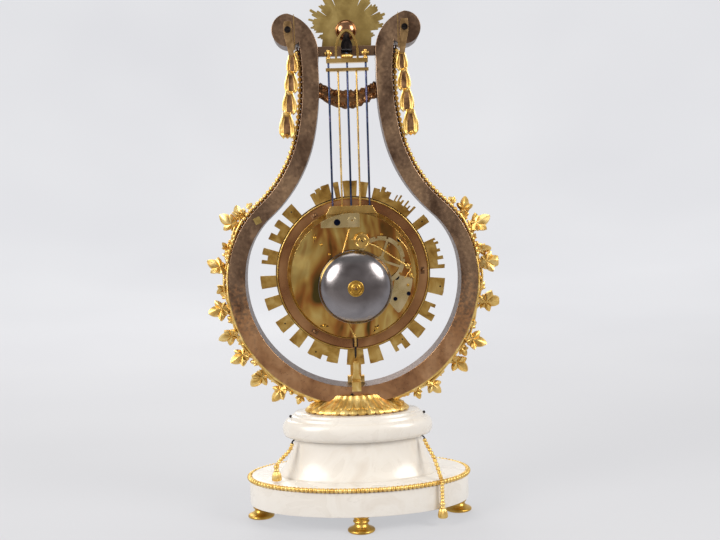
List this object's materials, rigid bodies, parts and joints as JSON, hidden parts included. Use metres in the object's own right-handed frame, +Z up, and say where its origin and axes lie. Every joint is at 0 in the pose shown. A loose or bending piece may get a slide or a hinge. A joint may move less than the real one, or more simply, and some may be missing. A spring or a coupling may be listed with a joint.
{
  "type": "skeleton clock",
  "caption": "Lyre-shaped skeleton clock on an oval marble base, with a ring pendulum on a knife edge that swings around a round striking movement.",
  "frame": {"origin": "middle of the oval base, at the level of the undersides of the feet", "axes": "+Z up; the dial faces -Y; the pendulum swings along X"},
  "size_m": [0.3208, 0.155, 0.5786],
  "materials": {
    "white_marble": "polished",
    "gilt_bronze": "bright gilt",
    "patinated_bronze": "brown patina",
    "copper_bronze": "copper-brown lacquer",
    "polished_brass": "mirror polished",
    "cast_brass": "rough cast",
    "turned_brass": "turned and lacquered",
    "blued_steel": "blued",
    "dark_steel": "dark",
    "polished_steel": "polished",
    "white_enamel": "glazed"
  },
  "bodies": {
    "frame": {"feet": "turned_brass", "plinth": "white_marble", "plinth_beads": "gilt_bronze", "pedestal_drum": "white_marble", "pedestal_cap": "white_marble", "leaf_collar": "gilt_bronze", "tie_rod": "dark_steel", "chain_hooks": "dark_steel", "tassel_chain_left": "gilt_bronze", "tassel_chain_right": "gilt_bronze", "lyre_frame": "patinated_bronze", "arm_beads": "gilt_bronze", "ivy_branch_left": "gilt_bronze", "ivy_branch_right": "gilt_bronze", "front_rosettes": "gilt_bronze", "husk_drops": "gilt_bronze", "husk_screws": "dark_steel", "crossbar": "patinated_bronze", "sun_rays": "cast_brass", "sun_mask": "copper_bronze", "swag": "copper_bronze", "knife_edge": "blued_steel", "index_post": "gilt_bronze", "front_bracket": "gilt_bronze", "back_plate": "polished_brass", "front_plate": "polished_brass", "pillars": "turned_brass", "anchor_cock": "polished_brass", "plate_screws": "blued_steel", "bell": "polished_steel", "bell_stand": "turned_brass", "chapter_ring": "white_enamel", "dial_bezel": "gilt_bronze"},
    "pendulum": {"stirrup": "polished_brass", "rod_bars": "polished_brass", "steel_rods": "blued_steel", "brass_rods": "polished_brass", "rod_block": "polished_brass", "thumb_nuts": "polished_brass", "pendulum_ring": "copper_bronze", "ray_ring": "cast_brass", "ring_clips": "polished_brass", "crutch_fork": "polished_steel", "pointer": "blued_steel"},
    "rating_nut": {"rating_nut": "gilt_bronze"},
    "anchor": {"anchor_crutch": "dark_steel"},
    "centre_arbor": {"centre_wheel": "polished_brass", "minute_hand": "gilt_bronze"},
    "hour_work": {"hour_wheel": "polished_brass", "hour_hand": "gilt_bronze"},
    "minute_work": {"minute_wheel": "polished_brass"},
    "second_arbor": {"second_wheel": "polished_brass"},
    "third_arbor": {"third_wheel": "polished_brass"},
    "escape_arbor": {"escape_wheel": "polished_brass"},
    "going_barrel": {"going_barrel": "polished_brass"},
    "strike_barrel": {"strike_barrel": "polished_brass"},
    "count_arbor": {"count_wheel": "polished_brass"},
    "pin_arbor": {"pin_wheel": "polished_brass"},
    "fly_arbor": {"fly": "polished_brass"},
    "hammer": {"hammer": "polished_brass"}
  },
  "joints": [
    {"name": "pendulum_swing", "type": "hinge", "parent": "frame", "child": "pendulum", "pos_m": [0, 0, 0.525], "axis": [0, 1, 0], "range_deg": [-1.2, 1.2]},
    {"name": "rating_nut_turn", "type": "hinge", "parent": "pendulum", "child": "rating_nut", "pos_m": [0, 0.01, 0.5], "axis": [0, 0, 1], "continuous": true},
    {"name": "anchor_rock", "type": "hinge", "parent": "frame", "child": "anchor", "pos_m": [0, 0, 0.3258], "axis": [0, 1, 0], "range_deg": [-3.2, 3.2]},
    {"name": "centre_turn", "type": "hinge", "parent": "frame", "child": "centre_arbor", "pos_m": [0, 0, 0.267], "axis": [0, 1, 0], "continuous": true},
    {"name": "hour_turn", "type": "hinge", "parent": "frame", "child": "hour_work", "pos_m": [0, 0, 0.267], "axis": [0, 1, 0], "continuous": true},
    {"name": "minute_wheel_turn", "type": "hinge", "parent": "frame", "child": "minute_work", "pos_m": [0, 0, 0.279], "axis": [0, 1, 0], "continuous": true},
    {"name": "second_turn", "type": "hinge", "parent": "frame", "child": "second_arbor", "pos_m": [0.01749, 0, 0.28162], "axis": [0, 1, 0], "continuous": true},
    {"name": "third_turn", "type": "hinge", "parent": "frame", "child": "third_arbor", "pos_m": [-0.00599, 0, 0.28734], "axis": [0, 1, 0], "continuous": true},
    {"name": "escape_turn", "type": "hinge", "parent": "frame", "child": "escape_arbor", "pos_m": [0, 0, 0.306], "axis": [0, 1, 0], "continuous": true},
    {"name": "going_barrel_turn", "type": "hinge", "parent": "frame", "child": "going_barrel", "pos_m": [0.026, 0, 0.256], "axis": [0, 1, 0], "continuous": true},
    {"name": "strike_barrel_turn", "type": "hinge", "parent": "frame", "child": "strike_barrel", "pos_m": [-0.026, 0, 0.256], "axis": [0, 1, 0], "continuous": true},
    {"name": "count_turn", "type": "hinge", "parent": "frame", "child": "count_arbor", "pos_m": [-0.02926, 0, 0.2828], "axis": [0, 1, 0], "continuous": true},
    {"name": "pin_wheel_turn", "type": "hinge", "parent": "frame", "child": "pin_arbor", "pos_m": [-0.02502, 0, 0.29864], "axis": [0, 1, 0], "continuous": true},
    {"name": "fly_turn", "type": "hinge", "parent": "frame", "child": "fly_arbor", "pos_m": [-0.03867, 0, 0.29864], "axis": [0, 1, 0], "continuous": true},
    {"name": "hammer_swing", "type": "hinge", "parent": "frame", "child": "hammer", "pos_m": [-0.057, 0, 0.276], "axis": [0, 1, 0], "range_deg": [-8, 0]}
  ],
  "couplings": [
    {"joint": "anchor_rock", "follows": "pendulum_swing", "ratio": 2.4888},
    {"joint": "minute_wheel_turn", "follows": "centre_turn", "ratio": -0.33333},
    {"joint": "hour_turn", "follows": "centre_turn", "ratio": 0.083333},
    {"joint": "second_turn", "follows": "centre_turn", "ratio": -0.096154},
    {"joint": "going_barrel_turn", "follows": "centre_turn", "ratio": 0.012019},
    {"joint": "third_turn", "follows": "centre_turn", "ratio": -9.6},
    {"joint": "escape_turn", "follows": "centre_turn", "ratio": 108},
    {"joint": "strike_barrel_turn", "follows": "count_turn", "ratio": -0.125},
    {"joint": "pin_wheel_turn", "follows": "count_turn", "ratio": -7.2},
    {"joint": "fly_turn", "follows": "count_turn", "ratio": 63}
  ]
}
